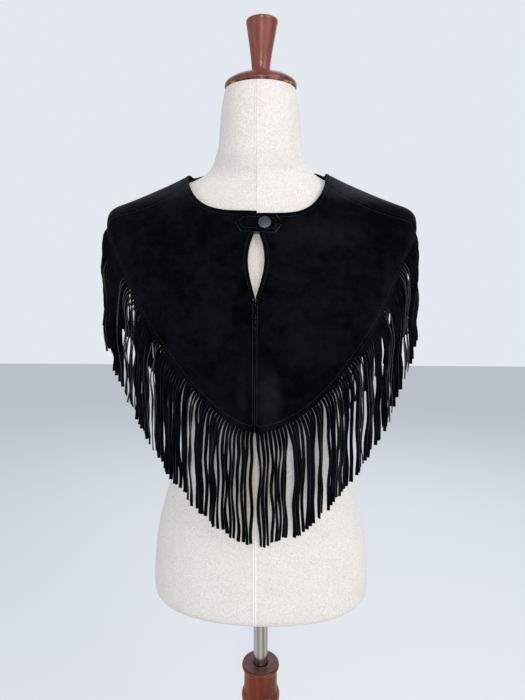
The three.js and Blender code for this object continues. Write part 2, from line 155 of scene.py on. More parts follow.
def turned_piece(name, profile, sides, materials, lean=0.0, foot=(0, 0, 0), crease=35):
    """A piece turned round its axis, from a profile of radius and height that starts and ends on it."""
    outline = curve_through(profile)
    radius, height = outline[1:-1, 0], outline[1:-1, 1]
    turn = np.arange(sides) * 2 * pi / sides
    rings = np.stack([radius[:, None] * np.sin(turn), -radius[:, None] * np.cos(turn),
                      np.repeat(height[:, None], sides, 1)], -1)
    ends = [(0, 0, outline[0, 1]), (0, 0, outline[-1, 1])]
    points = np.vstack([rings.reshape(-1, 3), ends])
    tipped = points.copy()
    tipped[:, 1] = points[:, 1] * np.cos(lean) - points[:, 2] * np.sin(lean)
    tipped[:, 2] = points[:, 1] * np.sin(lean) + points[:, 2] * np.cos(lean)
    faces = grid_faces(len(radius), sides, closed=True)
    first, last = len(points) - 2, len(points) - 1
    top = (len(radius) - 1) * sides
    for k in range(sides):
        follow = (k + 1) % sides
        faces.append((first, follow, k))
        faces.append((last, top + k, top + follow))
    return mesh_piece(name, (tipped + np.array(foot)) * MM, faces, materials, crease)


class Wire:
    """A socket of a shader tree. Sums and products of wires and numbers add their Math nodes."""

    def __init__(self, tree, socket=None):
        self.tree = tree
        self.socket = socket

    def node(self, kind, settings, sockets, output=0):
        """A new node: its settings first, then the values or wires of its sockets, by name or number."""
        made = self.tree.nodes.new("ShaderNode" + kind)
        for name, value in settings.items():
            setattr(made, name, value)
        for key, value in sockets.items():
            socket = made.inputs[key]
            if isinstance(value, Wire):
                self.tree.links.new(value.socket, socket)
            elif socket.type == "RGBA":
                socket.default_value = (*value, 1)
            else:
                socket.default_value = value
        return Wire(self.tree, made.outputs[output])

    def math(self, operation, first, second=0.0):
        """A Math node of one or two values or wires."""
        return self.node("Math", {"operation": operation}, {0: first, 1: second})

    def __add__(self, other):
        return self.math("ADD", self, other)

    def __radd__(self, other):
        return self.math("ADD", other, self)

    def __sub__(self, other):
        return self.math("SUBTRACT", self, other)

    def __rsub__(self, other):
        return self.math("SUBTRACT", other, self)

    def __mul__(self, other):
        return self.math("MULTIPLY", self, other)

    def __rmul__(self, other):
        return self.math("MULTIPLY", other, self)

    def __abs__(self):
        return self.math("ABSOLUTE", self)

    def along(self, *direction):
        """How far a place lies along a direction."""
        return self.node("VectorMath", {"operation": "DOT_PRODUCT"}, {0: self, 1: direction}, output=1)

    def stretched(self, *scale):
        """A place with each of its directions scaled."""
        return self.node("VectorMath", {"operation": "MULTIPLY"}, {0: self, 1: scale})

    def noise(self, scale, detail=2.0, roughness=0.5):
        """Cloudy noise from 0 to 1 over a place."""
        return self.node("TexNoise", {},
                         {"Vector": self, "Scale": scale, "Detail": detail, "Roughness": roughness})

    def between(self, low, high):
        """A soft mask: 0 below the low value and 1 above the high one."""
        return self.node("MapRange", {"interpolation_type": "SMOOTHSTEP"},
                         {"Value": self, "From Min": low, "From Max": high})

    def mix(self, low, high):
        """A colour between two, by this mask."""
        return self.node("Mix", {"data_type": "RGBA"}, {0: self, 6: low, 7: high}, output=2)

    def relief(self, depth):
        """A normal that this height bends, at a depth in metres."""
        return self.node("Bump", {}, {"Height": self, "Distance": depth})


def finished(name, looks, **even):
    """A material: what is even sits on the shader's own sockets, and looks(place) gives what varies."""
    material = bpy.data.materials.new(name)
    material.use_nodes = True
    tree = material.node_tree
    shader = tree.nodes["Principled BSDF"]
    for socket, value in even.items():
        shader.inputs[socket.replace("_", " ")].default_value = value
    place = Wire(tree).node("TexCoord", {}, {}, output="Object")
    for socket, wire in looks(place).items():
        tree.links.new(wire.socket, shader.inputs[socket.replace("_", " ")])
    return material


def mahogany_looks(place, grain=(0, 0, 1), stained=MAHOGANY_STAIN):
    """Streaks of dark grain in a red-brown stain, with fine pores, all along the grain's direction."""

    def drawn_out(by):
        return place.stretched(*(by if with_grain else 1 for with_grain in grain))

    streaks = drawn_out(0.09).noise(95, detail=5, roughness=0.62)
    broad = drawn_out(0.16).noise(22, detail=2)
    pores = drawn_out(0.035).noise(900, detail=1)
    stain = (streaks * 0.55 + broad * 0.45).between(0.32, 0.66).mix(*stained)
    colour = (pores.between(0.62, 0.72) * 0.55).mix(stain, MAHOGANY_PORES)
    return {"Base_Color": colour, "Roughness": 0.32 + streaks * 0.16, "Normal": pores.relief(0.00004)}


def foot_looks(place):
    """The same wood with its grain across the disc."""
    return mahogany_looks(place, grain=(1, 0, 0))


foot_wood = finished("foot_wood", foot_looks, Specular_IOR_Level=0.12, Coat_Weight=0.1, Coat_Roughness=0.07)
stand_base = turned_piece("foot_disc", FOOT, FOOT_SIDES, [foot_wood])
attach(stand_base, "stand")
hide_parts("stand_base")

# The column is one turning of the same hardwood, with beads and coves, screwed to the foot. It is bored down
# its middle for the pole.
COLUMN_TOP = 465
COLUMN = [
    (0, 24.3), (24, 24.3), (31, 26.2), (34, 30.3), (35.2, 34), (35, 37.3), (32.5, 42), (29, 46), (24.8, 52),
    (22.2, 62), (21.5, 76), (22.1, 110), (23.5, 180), (24.7, 240), (25, 300), (24.6, 340), (24.2, 362),
    (24.6, 369), (25.6, 372.4), (26.2, 375), (25.6, 377.6), (24.4, 380), (23.6, 385), (23.8, 391), (25, 398),
    (27, 403), (28.9, 406.6), (29.7, 411), (29.3, 416), (27.8, 420.4), (26.2, 422.6), (25.9, 425.5),
    (25.7, 434), (25.6, 446), (25.6, 452.6), (26, 454.6), (27.4, 456.2), (28.6, 458.6), (28.9, 460.8),
    (28.7, 462.4), (28, 463.4), (27.6, 463.8), (28.1, 464.3), (28, 464.8), (27.6, COLUMN_TOP),
    (16, COLUMN_TOP), (12.2, COLUMN_TOP), (11.7, 464.5), (11.7, 462), (11.7, 300), (11.7, 45), (0, 45),
]
COLUMN_SIDES = 96
# The dark line just under the column's top is painted shade in the groove there
COLUMN_LINE_SHADE = {"from": 1.9, "to": 1.5, "colour": (0.012, 0.003, 0.002)}
END_GRAIN = {"from": 0.5, "to": 0.2, "colours": ((0.045, 0.014, 0.009), (0.09, 0.03, 0.02))}


def column_looks(place):
    """The same wood, darker on the end grain of the top, with painted shade in the line round it just under
    the top's edge.
    """
    looks = mahogany_looks(place)
    height = place.along(0, 0, 1)
    # The dark line round the column just under its top is painted shade in the groove there.
    line = height.between((COLUMN_TOP - COLUMN_LINE_SHADE["from"]) * MM, (COLUMN_TOP - COLUMN_LINE_SHADE["to"]) * MM)
    end_grain = height.between((COLUMN_TOP - END_GRAIN["from"]) * MM, (COLUMN_TOP - END_GRAIN["to"]) * MM)
    rings = place.noise(120, detail=4).between(0.35, 0.65).mix(*END_GRAIN["colours"])
    looks["Base_Color"] = end_grain.mix(line.mix(looks["Base_Color"], COLUMN_LINE_SHADE["colour"]), rings)
    return looks


column_wood = finished("column_wood", column_looks, Specular_IOR_Level=0.16, Coat_Weight=0.14,
                       Coat_Roughness=0.07)
column = turned_piece("turned_column", COLUMN, COLUMN_SIDES, [column_wood])
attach(column, "stand")
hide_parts("stand_column")

# The pole is a steel tube with its ends eased, ground bright along its length. It slides in the column,
# which grips it at the height that is set, and carries the form.
POLE = [(0, 165), (9.8, 165), (11, 166.2), (11, 240), (11, 480), (11, 581.5), (9.8, 582.7), (0, 582.7)]
POLE_SIDES = 64
# Dark and bright tones of the bands down the pole, which are painted reflections of the room round it
STEEL_REFLECTION_BANDS = ((0.2, 0.185, 0.165), (0.53, 0.49, 0.435))


def steel_looks(place):
    """Fine lines along the pole from drawing, painted reflections as dark and bright bands down it, and
    duller patches from handling.
    """
    lines = place.stretched(1, 1, 0.02).noise(1800, detail=2)
    dull = place.noise(28, detail=3)
    # The dark and bright bands down the pole are painted reflections of the room round it.
    reflection_bands = place.stretched(1, 1, 0.012).noise(210, detail=3, roughness=0.6).between(0.42, 0.6)
    colour = (reflection_bands * 0.8 + dull * 0.2).mix(*STEEL_REFLECTION_BANDS)
    roughness = 0.14 + dull * 0.12 + lines * 0.06
    return {"Base_Color": colour, "Roughness": roughness, "Normal": lines.relief(0.00002)}


steel = finished("ground_steel", steel_looks, Metallic=1.0)
pole = turned_piece("steel_pole", POLE, POLE_SIDES, [steel])
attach(pole, "form")
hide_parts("pole")

# The form is a padded shell of a woman's trunk without limbs, covered in slubbed off-white linen. The cover
# is sewn up the front and back centres, where its turnings show as two fine ridges.
# Columns: height, half width, depth in front of and behind the pole, roundness of the section, forward lean.
FORM = [
    (1325, 50, 55, 45, 2.0, 0.13), (1302, 54.6, 57, 49, 2.0, 0.13), (1275, 57.6, 59, 53, 2.0, 0.12),
    (1250, 59.6, 60, 57, 2.0, 0.09), (1235, 63.5, 61, 60, 2.0, 0.05), (1222, 68.5, 61, 63, 1.8, 0.02),
    (1212, 76.5, 60, 66, 1.55, 0), (1203.7, 91.5, 59, 70, 1.3, 0), (1196.7, 111, 59, 74, 1.25, 0),
    (1187, 143.3, 60, 77, 1.22, 0), (1177, 165.8, 61, 80, 1.22, 0), (1166, 179, 63, 83, 1.28, 0),
    (1152, 187, 66, 87, 1.42, 0), (1120, 190, 74, 93, 1.7, 0), (1085, 184, 87, 98, 1.95, 0),
    (1045, 169, 101, 101, 2.2, 0), (1000, 152, 112, 99, 2.3, 0), (955, 142, 110, 92, 2.25, 0),
    (910, 130, 99, 85, 2.15, 0), (865, 119, 91, 80, 2.1, 0), (815, 118, 89, 81, 2.1, 0),
    (765, 134.5, 94, 90, 2.15, 0), (695, 153.5, 100, 102, 2.2, 0), (631, 161, 102, 108, 2.2, 0),
    (600, 160.5, 102, 108, 2.2, 0), (589, 156, 98, 104, 2.2, 0), (583, 144, 88, 94, 2.2, 0),
]
FORM_TOP, FORM_BOTTOM, FORM_TILT_AT = 1325, 583, -5
FORM_LEVELS = 240
FORM_BOTTOM_EDGE = [599, 597, 595, 593, 591, 589, 587.5, 586, 585, 584.2, 583.5]
# The left shoulder slopes more: how much lower it lies at a width, and between which heights
FORM_SLOPE = {"drop": 5.6, "at": 150, "power": 1.2, "from": 1250, "full": 1210, "fades": 1120, "to": 1040}
# Distances from a seam at which the cover's grid has its closest lines, and the ridges of its turnings
SEAM_LINES = np.array([0, 0.45, 0.9, 1.35, 1.8, 2.3, 4, 8])
SEAM_RIDGE = {"offset": 1.35, "half_width": 0.55, "height": 0.4, "aside": -2.2}
SIDE_COLUMNS = 66
# The ridges' colour is a painted highlight and the seam's colour a painted shade
LINEN = {
    "blotches": ((0.538, 0.52, 0.505), (0.564, 0.548, 0.535)), "gaps": (0.43, 0.385, 0.34),
    "threads": (0.65, 0.645, 0.638), "flecks": (0.35, 0.265, 0.215), "highlit_ridges": (0.72, 0.71, 0.69),
    "seam": (0.36, 0.29, 0.22),
}


def through(rows, places):
    """The columns of a table at places between its rows, by one smooth curve through them all."""
    table = np.array(rows, float)
    table = table[np.argsort(table[:, 0])]
    keys = table[:, 0]
    near = np.arange(len(keys))
    before, after = np.maximum(near - 1, 0), np.minimum(near + 1, len(keys) - 1)
    slopes = (table[after] - table[before]) / (keys[after] - keys[before])[:, None]
    places = np.asarray(places, float)
    i = np.clip(np.searchsorted(keys, places, side="right") - 1, 0, len(keys) - 2)
    span = (keys[i + 1] - keys[i])[..., None]
    f = (places - keys[i])[..., None] / span
    rise = table[i + 1] - table[i]
    s0, s1 = slopes[i] * span, slopes[i + 1] * span
    value = table[i] + f * (s0 + f * (3 * rise - 2 * s0 - s1 + f * (s0 + s1 - 2 * rise)))
    return np.moveaxis(value, -1, 0)[1:]


def form_points(levels):
    """The form's rings, in millimetres, each from the front centre round by +X, finest at its two seams."""
    half_width, front, back, roundness, lean = through(FORM, levels)
    power = 2 / roundness[:, None]
    from_seam = np.concatenate([-SEAM_LINES[:0:-1], SEAM_LINES])
    near = (from_seam + SEAM_RIDGE["aside"]) / half_width[:, None]
    near = np.arcsin(np.sign(near) * np.abs(near) ** (1 / power))
    sides = np.linspace(0, 1, SIDE_COLUMNS)[1:-1]
    right = near[:, -1:] + (pi - 2 * near[:, -1:]) * sides
    left = near[:, :1] - (pi + 2 * near[:, :1]) * (1 - sides)
    angle = np.hstack([near, right, pi - near[:, ::-1], left])
    facing = np.cos(angle)
    x = half_width[:, None] * np.sign(np.sin(angle)) * np.abs(np.sin(angle)) ** power
    depth = np.where(facing > 0, front[:, None], back[:, None])
    off = np.abs(x - SEAM_RIDGE["aside"]) - SEAM_RIDGE["offset"]
    ridge = SEAM_RIDGE["height"] * np.exp(-((off / SEAM_RIDGE["half_width"]) ** 2))
    y = -np.sign(facing) * (depth * np.abs(facing) ** power + ridge)
    z = levels[:, None] + lean[:, None] * (y - FORM_TILT_AT)
    keys = [FORM_SLOPE[key] for key in ("to", "fades", "full", "from")]
    lower = FORM_SLOPE["drop"] * np.interp(levels, keys, [0, 1, 1, 0])
    z = z - lower[:, None] * (np.maximum(0, x) / FORM_SLOPE["at"]) ** FORM_SLOPE["power"]
    return np.stack([x, y, z], -1)


def linen_looks(place):
    """Off-white linen: a plain weave, thicker slubs, flecks of beige fibre, and at the seam painted
    highlights on its ridges and painted shade between them.
    """
    upright = place.stretched(1, 1, 0.3).noise(1050, detail=3, roughness=0.6)
    level = place.stretched(0.35, 0.35, 1).noise(1050, detail=3, roughness=0.6)
    weave = upright * 0.5 + level * 0.5
    blotches = place.noise(34, detail=3).between(0.3, 0.7)
    flecks = place.noise(520, detail=3, roughness=0.65).between(0.54, 0.66)
    cloth = blotches.mix(*LINEN["blotches"])
    cloth = (weave.between(0.54, 0.4) * 0.6).mix(cloth, LINEN["gaps"])
    cloth = (weave.between(0.5, 0.62) * 0.4).mix(cloth, LINEN["threads"])
    cloth = (flecks * 0.42).mix(cloth, LINEN["flecks"])
    from_seam = abs(place.along(1, 0, 0) - SEAM_RIDGE["aside"] * MM)
    highlit_ridges = abs(from_seam - SEAM_RIDGE["offset"] * MM)
    low = place.along(0, 0, 1).between(1.0, 0.8)
    # The seam's ridges are painted paler as painted highlights, more so low down.
    cloth = (highlit_ridges.between(0.0009, 0.0003) * (0.05 + low * 0.75)).mix(cloth, LINEN["highlit_ridges"])
    # The line between the ridges is painted darker as painted shade in the groove.
    cloth = (from_seam.between(0.001, 0.0003) * 0.32).mix(cloth, LINEN["seam"])
    return {"Base_Color": cloth, "Normal": weave.relief(0.0003)}


linen = finished("slubbed_linen", linen_looks, Roughness=0.92, Sheen_Weight=0.1, Sheen_Roughness=0.6)
levels = FORM_TOP + (FORM_BOTTOM - FORM_TOP) * np.linspace(0, 1, FORM_LEVELS)
levels = np.array(sorted({*levels, *FORM_BOTTOM_EDGE}, reverse=True))
rings = form_points(levels)
ring_sides = rings.shape[1]
form_mesh = np.vstack([rings.reshape(-1, 3), rings[0].mean(0)[None], rings[-1].mean(0)[None]])
form_faces = grid_faces(len(levels), ring_sides, closed=True)
neck_middle, base_middle = len(form_mesh) - 2, len(form_mesh) - 1
base_ring = (len(levels) - 1) * ring_sides
for k in range(ring_sides):
    follow = (k + 1) % ring_sides
    form_faces.append((neck_middle, follow, k))
    form_faces.append((base_middle, base_ring + k, base_ring + follow))
dress_form = mesh_piece("linen_form", form_mesh * MM, form_faces, [linen], crease=50)
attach(dress_form, "form")
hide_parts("dress_form")

# The neck cap is a turned wooden disc with a tall finial that serves as a handle, in one piece. It is
# screwed to the top of the neck and leans forward with it.
NECK_CAP = [
    (0, 0.4), (40, 0.4), (48.8, 0.4), (50.4, 1.5), (51, 4), (50.4, 7), (48, 9.9), (43, 13.4), (34, 17),
    (25, 19.2), (18.6, 20.4), (15.4, 21.6), (13.7, 23.4), (13.1, 26.4), (13.4, 32), (14.8, 43), (16.8, 55.5),
    (18.8, 67), (20.8, 78.5), (22, 84.4), (22, 86.6), (20.5, 88.1), (16, 88.8), (8, 89), (0, 89),
]
CAP_SIDES = 96
CAP_ASIDE = 1
CAP_LEAN = atan(0.13)
FINIAL = {"starts": 21, "tilt": 0.035}
CAP_STAIN = ((0.03, 0.005, 0.0035), (0.17, 0.034, 0.018))
CAP_WEAR = {"bare": (0.5, 0.17, 0.045), "spots": (0.012, 0.006, 0.004)}


def cap_looks(place):
    """The same wood, where the lacquer is rubbed off and blackened in spots along the rim's lower edge."""
    looks = mahogany_looks(place, stained=CAP_STAIN)
    height = place.along(0, -np.tan(CAP_LEAN), 1)
    rim = 1 - (height - (FORM_TOP + 1) * MM).between(0.0006, 0.0028)
    bare = rim * place.noise(60, detail=3).between(0.42, 0.56)
    spots = rim * place.noise(130, detail=2).between(0.52, 0.6)
    looks["Base_Color"] = spots.mix(bare.mix(looks["Base_Color"], CAP_WEAR["bare"]), CAP_WEAR["spots"])
    return looks


cap_wood = finished("cap_wood", cap_looks, Specular_IOR_Level=0.3, Coat_Weight=0.16, Coat_Roughness=0.14)
neck_cap = turned_piece("neck_cap_finial", NECK_CAP, CAP_SIDES, [cap_wood], lean=CAP_LEAN,
                        foot=(CAP_ASIDE, FORM_TILT_AT, FORM_TOP))
for vertex in neck_cap.data.vertices:
    vertex.co.x += FINIAL["tilt"] * max(0, vertex.co.z - (FORM_TOP + FINIAL["starts"]) * MM)
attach(neck_cap, "form")
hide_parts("neck_cap")

# The capelet is cut from black split suede: a back and two fronts, joined at the shoulder seams and down the
# front below a keyhole slit. Every edge is turned or lapped and stitched down from the face.

# Columns: share of the way from neckline to hem, half width, depth in front of and behind the pole, height
# at the front centre, the shoulder ridge and the back centre, how late the edge rises in front and behind
CAPE = [
    (0.00, 100, 78, 73, 1142, 1209, 1227, 4.2, 7.0), (0.14, 121, 90, 88, 1104, 1199, 1184, 3.7, 2.7),
    (0.28, 144, 104, 103, 1064, 1189, 1139, 3.1, 2.3), (0.43, 168, 117, 113, 1022, 1179, 1092, 2.6, 2.2),
    (0.58, 191, 125, 120, 980, 1170, 1042, 2.2, 2.0), (0.72, 206, 128, 124, 940, 1164, 995, 1.9, 1.85),
    (0.84, 214.5, 129, 127, 908, 1157, 948, 1.75, 1.7), (0.92, 217.5, 129, 128, 886, 1149, 910, 1.66, 1.62),
    (1.00, 218, 128, 128, 863, 1137, 870, 1.6, 1.6),
]
SUEDE = 1.5
SEAM_GAP = 0.3
CROWN_ROUND = 0.85
SHOULDER_SEAM = {"neck": radians(68), "hem": radians(76)}
# It isn't worn quite straight: the left front and shoulder hang lower, and the neckline is pulled out, more
# so and upwards on the right, but lies closer to the neck at the left shoulder. The right shoulder keeps its
# height out to the hem.
WORN = {
    "left_hang": 0.2, "left_drop": 5.5, "left_pull": 4, "left_in": 7,
    "right_pull": 8, "right_lift": 0.85, "right_end": 7,
}
KEYHOLE = {"bottom": 1030, "top": 1124, "half_width": 10.4, "peak": 1.1}
# Folds that the cloth falls into: degrees from the front centre, width in degrees, the share at which each
# starts, and how far it stands out by the hem.
FOLDS = [
    (24, 7, 0.45, 1.6), (43, 6, 0.35, 2.4), (61, 7, 0.3, -1.0), (79, 8, 0.4, 2.2), (97, 7, 0.35, 1.2),
    (118, 9, 0.3, 3.0), (141, 8, 0.35, 2.0), (163, 9, 0.4, 3.2), (186, 8, 0.45, 1.8), (208, 9, 0.35, 3.0),
    (229, 8, 0.3, 1.6), (251, 8, 0.35, 2.6), (270, 7, 0.4, 1.4), (289, 8, 0.35, 2.4), (306, 6, 0.3, -0.8),
    (321, 7, 0.4, 2.2), (340, 7, 0.5, 1.4),
]
# Distances from an edge at which the panels' grid has its closest lines, and those of the stitching
NECK_LINES = np.array([0, 0.35, 1, 2.2, 3.8, 5.2, 6, 6.8, 8.6, 11.5])
HEM_LINES = np.array([0, 0.35, 1.2, 3, 5.2, 7.4, 8.5, 9.6, 11.4, 14])
SIDE_LINES = np.array([0, 0.35, 1, 1.8, 2.6, 3.4, 4.2, 5, 5.8, 7.2, 9.5, 12])
NECK_STITCH, HEM_STITCH, SLIT_STITCH, SEAM_STITCH = 6, 8.5, 5, 2.6
MIDDLE_ROWS = 104
FRONT_COLUMNS, BACK_COLUMNS = 118, 230
# Angles and shares along which lengths are measured
AROUND = np.linspace(0, 2 * pi, 721)
DOWN = np.linspace(0, 1, 241)


def cape_at(angle, share):
    """A point of the suede's outer face in millimetres, by angle from the front centre and by share."""
    half_width, front, back, front_z, ridge_z, back_z, rise, back_rise = through(CAPE, share)
    facing, aside, left = np.cos(angle), np.abs(np.sin(angle)), np.sin(angle) > 0
    in_front = facing > 0
    near_neck = (1 - share) ** 3
    low = np.where(in_front, front_z, back_z)
    ridge = ridge_z - np.where(left, WORN["left_drop"] * (1 - near_neck), 0)
    hang = np.where(in_front & left, 1 + WORN["left_hang"] * share, 1)
    pull = np.where(left, WORN["left_pull"], WORN["right_pull"]) * near_neck
    pull = pull * 2 * aside * np.maximum(facing, 0)
    x = half_width * aside + pull - np.where(left, WORN["left_in"] * near_neck * aside**6, 0)
    y = -np.sign(facing) * np.where(in_front, front, back) * np.abs(facing) ** CROWN_ROUND
    z = low + (ridge - low) * aside ** (np.where(in_front, rise, back_rise) * hang)
    z = z + np.where(left, 0, WORN["right_lift"] * pull * facing + WORN["right_end"] * share**8 * aside**10)
    return np.stack(np.broadcast_arrays(np.where(left, x, -x), y, z), -1)


def shoulder_seam(share):
    """The shoulder seam's angle from the front centre."""
    return SHOULDER_SEAM["neck"] + (SHOULDER_SEAM["hem"] - SHOULDER_SEAM["neck"]) * share**1.5


def angle_at_width(x, share):
    """The angle at which a row of the front reaches a given width in millimetres."""
    pull = np.where(x > 0, WORN["left_pull"], WORN["right_pull"]) * (1 - share) ** 3
    return np.arcsin(x / (through(CAPE, share)[0] + 2 * pull))


def unit(vectors):
    """The same directions at length 1."""
    return vectors / np.maximum(np.linalg.norm(vectors, axis=-1, keepdims=True), 1e-9)


def cape_frame(angle, share):
    """The suede's outward normal at a place, and the directions round the neck and down to the hem."""
    step = 1e-3
    around = cape_at(angle + step, share) - cape_at(angle - step, share)
    down = cape_at(angle, np.minimum(1, share + step)) - cape_at(angle, np.maximum(0, share - step))
    return unit(np.cross(down, around)), unit(around), unit(down)


def soft_step(value):
    """A smooth rise from 0 to 1 as the value does."""
    value = np.clip(value, 0, 1)
    return value * value * (3 - 2 * value)


def drape(angle, share):
    """How far the folds stand out from the cape's plain shape, in millimetres."""
    out = np.zeros(np.broadcast(angle, share).shape)
    for degrees, width, start, height in FOLDS:
        away = (np.degrees(angle) - degrees + 180) % 360 - 180
        out += height * np.exp(-((away / width) ** 2)) * soft_step((share - start) / (1.05 - start))
    return out


def slit_at(height):
    """Half the keyhole's width, in millimetres, at a height on the front's centre line."""
    up = np.clip((height - KEYHOLE["bottom"]) / (KEYHOLE["top"] - KEYHOLE["bottom"]), 0, 1)
    return SEAM_GAP / 2 + KEYHOLE["half_width"] * np.sin(pi * up ** KEYHOLE["peak"])


def row_courses():
    """The panels' rows as courses round the neck: each one's share, and how far neckline and hem are."""
    lengths = np.linalg.norm(np.diff(cape_at(AROUND[:, None], DOWN), axis=1), axis=2).cumsum(1)
    shares, to_neck, to_hem = [], [], []
    for row in lengths:
        length = np.concatenate([[0], row])
        below = length[-1] - HEM_LINES[::-1]
        middle = np.linspace(NECK_LINES[-1], below[0], MIDDLE_ROWS + 2)[1:-1]
        wanted = np.concatenate([NECK_LINES, middle, below])
        shares.append(np.interp(wanted, length, DOWN))
        to_neck.append(wanted)
        to_hem.append(length[-1] - wanted)
    return np.array(shares).T, np.array(to_neck).T, np.array(to_hem).T


def panel_grid(first_edge, last_edge, first_trim, last_trim, columns):
    """A panel's grid of places between two edges, each of which gives its angle on a row's course."""
    grid = {name: [] for name in ("angle", "share", "neck", "hem", "first", "last")}
    for share, neck, hem in zip(*courses):
        angle = np.linspace(first_edge(share), last_edge(share), 500)
        line = cape_at(angle, np.interp(angle, AROUND, share))
        length = np.concatenate([[0], np.linalg.norm(np.diff(line, axis=0), axis=1).cumsum()])
        start, end = first_trim, length[-1] - last_trim
        middle = np.linspace(start + SIDE_LINES[-1], end - SIDE_LINES[-1], columns + 2)[1:-1]
        wanted = np.concatenate([start + SIDE_LINES, middle, end - SIDE_LINES[::-1]])
        place = np.interp(wanted, length, angle)
        grid["angle"].append(place)
        for name, course in (("share", share), ("neck", neck), ("hem", hem)):
            grid[name].append(np.interp(place, AROUND, course))
        grid["first"].append(wanted - start)
        grid["last"].append(end - wanted)
    return {name: np.array(rows) for name, rows in grid.items()}


def slit_edge(side):
    """The front edge of the left (1) or right (-1) front, along the slit and the seam under it."""

    def angle_on(course):
        width = slit_at(through(CAPE, course[0])[3])
        return angle_at_width(side * width, course[0]) % (2 * pi)

    return angle_on


def shoulder_edge(side):
    """The shoulder edge on the left (1) or right (-1)."""

    def angle_on(course):
        angle = SHOULDER_SEAM["neck"]
        for _ in range(5):
            angle = shoulder_seam(np.interp(side * angle % (2 * pi), AROUND, course))
        return side * angle % (2 * pi)

    return angle_on


# Heights and widths of the relief beside a stitched edge and in a seam
RIM, ROLL, GROOVE, VALLEY = (-0.5, 0.5), (0.2, 0.3), (-0.4, 0.7), (-0.55, 1.1)


def stitched_edge(distance, stitch):
    """The relief beside a stitched edge: a rounded rim, a soft roll, and a groove under the stitches."""
    rim = RIM[0] * np.exp(-((distance / RIM[1]) ** 2))
    roll = ROLL[0] * np.exp(-(((distance - stitch * 0.5) / (stitch * ROLL[1])) ** 2))
    groove = GROOVE[0] * np.exp(-(((distance - stitch) / GROOVE[1]) ** 2))
    return rim + roll + groove


def seam_valley(distance):
    """The relief where two pieces meet in a seam."""
    return VALLEY[0] * np.exp(-((distance / VALLEY[1]) ** 2))


def on_cape(grid, distance):
    """Points over a grid of places, moved out from the draped cape by a distance in millimetres."""
    angle, share = grid["angle"], grid["share"]
    normal, _, _ = cape_frame(angle, share)
    return cape_at(angle, share) + normal * (drape(angle, share) + distance)[..., None]


def walled(name, outer, inner, materials):
    """A closed wall between two grids of points in millimetres."""
    rows, columns = outer.shape[:2]
    size = rows * columns
    points = np.vstack([outer.reshape(-1, 3), inner.reshape(-1, 3)])
    faces = grid_faces(rows, columns) + grid_faces(rows, columns, start=size)
    rim = list(range(columns)) + [r * columns + columns - 1 for r in range(1, rows)]
    rim += [(rows - 1) * columns + c for c in range(columns - 2, -1, -1)]
    rim += [r * columns for r in range(rows - 2, 0, -1)]
    for a, b in zip(rim, rim[1:] + rim[:1]):
        faces.append((a, b, b + size, a + size))
    return mesh_piece(name, points * MM, faces, materials, crease=60)


# Patches where the nap is brushed up on the front, and a painted sheen over the shoulders: their centres and
# radii in metres, and how pale they are
NAP_AND_SHEEN_PATCHES = [
    ((0.018, -0.125, 0.905), (0.02, 0.06, 0.06), 0.007),
    ((-0.016, -0.125, 0.915), (0.012, 0.06, 0.05), 0.004),
    # These two over the shoulders are painted sheen, paler where their tops catch the light from above.
    ((-0.15, 0, 1.19), (0.13, 0.08, 0.04), 0.022),
    ((0.15, 0, 1.185), (0.13, 0.08, 0.04), 0.03),
    ((0.09, -0.09, 1.12), (0.09, 0.06, 0.035), 0.0045),
    ((0.07, -0.12, 0.97), (0.06, 0.06, 0.04), 0.0035),
]
SUEDE_TONES = ((0.0003, 0.0004, 0.0008), (0.0034, 0.0041, 0.0062))


def suede_looks(place):
    """Black split suede: brushed patches of nap, painted sheen over the shoulders, a fine mottle, and short
    standing fibres.
    """
    brushed = place.stretched(1, 1, 0.6).noise(11, detail=3, roughness=0.55)
    mottle = place.noise(75, detail=4, roughness=0.6)
    fibres = place.noise(1300, detail=3, roughness=0.7)
    tone = brushed * 0.5 + mottle * 0.3 + fibres * 0.2
    colour = tone.between(0.4, 0.64).mix(*SUEDE_TONES)
    # Each patch is paler: brushed nap on the front, painted sheen on the shoulders.
    for centre, size, paler in NAP_AND_SHEEN_PATCHES:
        away = place.node("VectorMath", {"operation": "SUBTRACT"}, {0: place, 1: centre})
        away = away.stretched(*(1 / s for s in size))
        near = 1 - place.node("VectorMath", {"operation": "LENGTH"}, {0: away}, output=1).between(0.2, 1)
        colour = (near * (0.1 + mottle * 1.2)).mix(colour, (paler, paler * 1.1, paler * 1.4))
    height = fibres * 0.6 + mottle * 0.8
    return {"Base_Color": colour, "Roughness": 0.82 + brushed * 0.16, "Normal": height.relief(0.0003)}


suede = finished("black_suede", suede_looks, Specular_IOR_Level=0.012, Sheen_Weight=0.03,
                 Sheen_Roughness=0.4)
courses = row_courses()
grids = {
    "left": panel_grid(slit_edge(1), shoulder_edge(1), 0, SEAM_GAP / 2, FRONT_COLUMNS),
    "right": panel_grid(shoulder_edge(-1), slit_edge(-1), SEAM_GAP / 2, 0, FRONT_COLUMNS),
    "back": panel_grid(shoulder_edge(1), shoulder_edge(-1), SEAM_GAP / 2, SEAM_GAP / 2, BACK_COLUMNS),
}


def panel_relief(side):
    """The relief of one panel: its stitched neckline and hem, its seams, and the band round the keyhole."""
    grid = grids[side]
    relief = stitched_edge(grid["neck"], NECK_STITCH) + stitched_edge(grid["hem"], HEM_STITCH)
    if side == "back":
        for edge in ("first", "last"):
            relief += stitched_edge(grid[edge], SEAM_STITCH) + seam_valley(grid[edge])
        return relief
    centre, shoulder = ("first", "last") if side == "left" else ("last", "first")
    relief += stitched_edge(grid[shoulder], SEAM_STITCH) + seam_valley(grid[shoulder])
    in_slit = cape_at(0, grid["share"])[..., 2] > KEYHOLE["bottom"]
    slit = stitched_edge(grid[centre], SLIT_STITCH)
    seam = stitched_edge(grid[centre], SEAM_STITCH) + seam_valley(grid[centre])
    return relief + np.where(in_slit, slit, seam)


